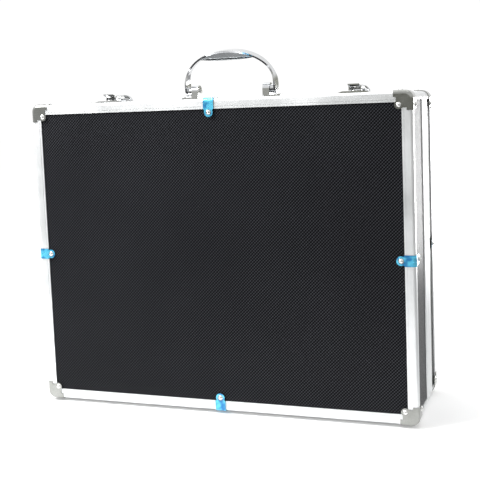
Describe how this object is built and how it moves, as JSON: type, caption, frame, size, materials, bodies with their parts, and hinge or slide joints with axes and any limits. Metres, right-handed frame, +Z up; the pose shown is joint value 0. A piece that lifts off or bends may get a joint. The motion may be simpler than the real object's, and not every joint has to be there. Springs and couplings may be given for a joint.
{
  "type": "art supply box",
  "caption": "Hard-sided carrying box with aluminium edge profiles, metal corner caps, top handle, draw latches and a hinged lid over a compartment tray.",
  "frame": {"origin": "on the ground, under the middle of the case", "axes": "+X to the right along the width, +Y from the face of the deep base half to the back of the lid, +Z up; the case stands on its hinge side with the handle and latches on top"},
  "size_m": [0.4608, 0.1418, 0.421],
  "materials": {
    "laminate": "black laminate with a fine raised diamond-dot texture",
    "aluminium": "satin anodised extrusion",
    "cap_chrome": "bright plated pressing",
    "blue_film": "thin glossy protective film, slightly wrinkled",
    "rivet_steel": "bright plated rivet heads",
    "lining_foam": "thin black foam sheet",
    "foot_rubber": "matt black rubber",
    "insert_plastic": "black moulded plastic with a fine grain",
    "grip_plastic": "grey moulded grip with a satin surface",
    "hardware_chrome": "bright plated steel",
    "hinge_steel": "plated steel with fine lines"
  },
  "bodies": {
    "base": {"base_bottom_board": "laminate", "base_bottom_edge_profile": "aluminium", "base_cap_bottom_left": "cap_chrome", "base_cap_bottom_right": "cap_chrome", "base_cap_top_left": "cap_chrome", "base_cap_top_right": "cap_chrome", "base_clip_films": "blue_film", "base_corner_posts": "aluminium", "base_edge_clips": "cap_chrome", "base_face_board": "laminate", "base_fasteners": "rivet_steel", "base_feet": "foot_rubber", "base_hinge_leaves": "hinge_steel", "base_left_board": "laminate", "base_left_edge_profile": "aluminium", "base_lining": "lining_foam", "base_long_rails": "aluminium", "base_right_board": "laminate", "base_right_edge_profile": "aluminium", "base_short_rails": "aluminium", "base_top_board": "laminate", "base_top_edge_profile": "aluminium", "compartment_insert": "insert_plastic", "handle_bracket_left": "hardware_chrome", "handle_bracket_right": "hardware_chrome", "handle_pins": "hardware_chrome", "hinge_pins": "hinge_steel", "latch_plate_left": "hardware_chrome", "latch_plate_right": "hardware_chrome"},
    "lid": {"lid_bottom_board": "laminate", "lid_bottom_edge_profile": "aluminium", "lid_cap_bottom_left": "cap_chrome", "lid_cap_bottom_right": "cap_chrome", "lid_cap_top_left": "cap_chrome", "lid_cap_top_right": "cap_chrome", "lid_clip_films": "blue_film", "lid_corner_posts": "aluminium", "lid_edge_clips": "cap_chrome", "lid_face_board": "laminate", "lid_fasteners": "rivet_steel", "lid_feet": "foot_rubber", "lid_hinge_leaves": "hinge_steel", "lid_left_board": "laminate", "lid_left_edge_profile": "aluminium", "lid_lining": "lining_foam", "lid_long_rails": "aluminium", "lid_right_board": "laminate", "lid_right_edge_profile": "aluminium", "lid_short_rails": "aluminium", "lid_top_board": "laminate", "lid_top_edge_profile": "aluminium", "latch_keeper_left": "hardware_chrome", "latch_keeper_right": "hardware_chrome"},
    "handle": {"handle_arch": "hardware_chrome", "handle_grip": "grip_plastic"},
    "latch_lever_left": {"latch_lever_left": "hardware_chrome"},
    "latch_bail_left": {"latch_bail_left": "hardware_chrome"},
    "latch_lever_right": {"latch_lever_right": "hardware_chrome"},
    "latch_bail_right": {"latch_bail_right": "hardware_chrome"}
  },
  "joints": [
    {"name": "lid_hinge", "type": "hinge", "parent": "base", "child": "lid", "pos_m": [0, 0.0175, 0.004], "axis": [-1, 0, 0], "range_deg": [0, 95]},
    {"name": "handle_swing", "type": "hinge", "parent": "base", "child": "handle", "pos_m": [0, 0.00825, 0.372], "axis": [1, 0, 0], "range_deg": [-95, 78]},
    {"name": "latch_lever_left_swing", "type": "hinge", "parent": "base", "child": "latch_lever_left", "pos_m": [-0.1535, 0.011, 0.3676], "axis": [-1, 0, 0], "range_deg": [0, 110]},
    {"name": "latch_bail_left_swing", "type": "hinge", "parent": "latch_lever_left", "child": "latch_bail_left", "pos_m": [-0.1535, 0.0015, 0.3669], "axis": [-1, 0, 0], "range_deg": [-154, 0]},
    {"name": "latch_lever_right_swing", "type": "hinge", "parent": "base", "child": "latch_lever_right", "pos_m": [0.1535, 0.011, 0.3676], "axis": [-1, 0, 0], "range_deg": [0, 110]},
    {"name": "latch_bail_right_swing", "type": "hinge", "parent": "latch_lever_right", "child": "latch_bail_right", "pos_m": [0.1535, 0.0015, 0.3669], "axis": [-1, 0, 0], "range_deg": [-154, 0]}
  ],
  "couplings": [
    {"joint": "latch_bail_left_swing", "follows": "latch_lever_left_swing", "ratio": -1.4},
    {"joint": "latch_bail_right_swing", "follows": "latch_lever_right_swing", "ratio": -1.4}
  ]
}
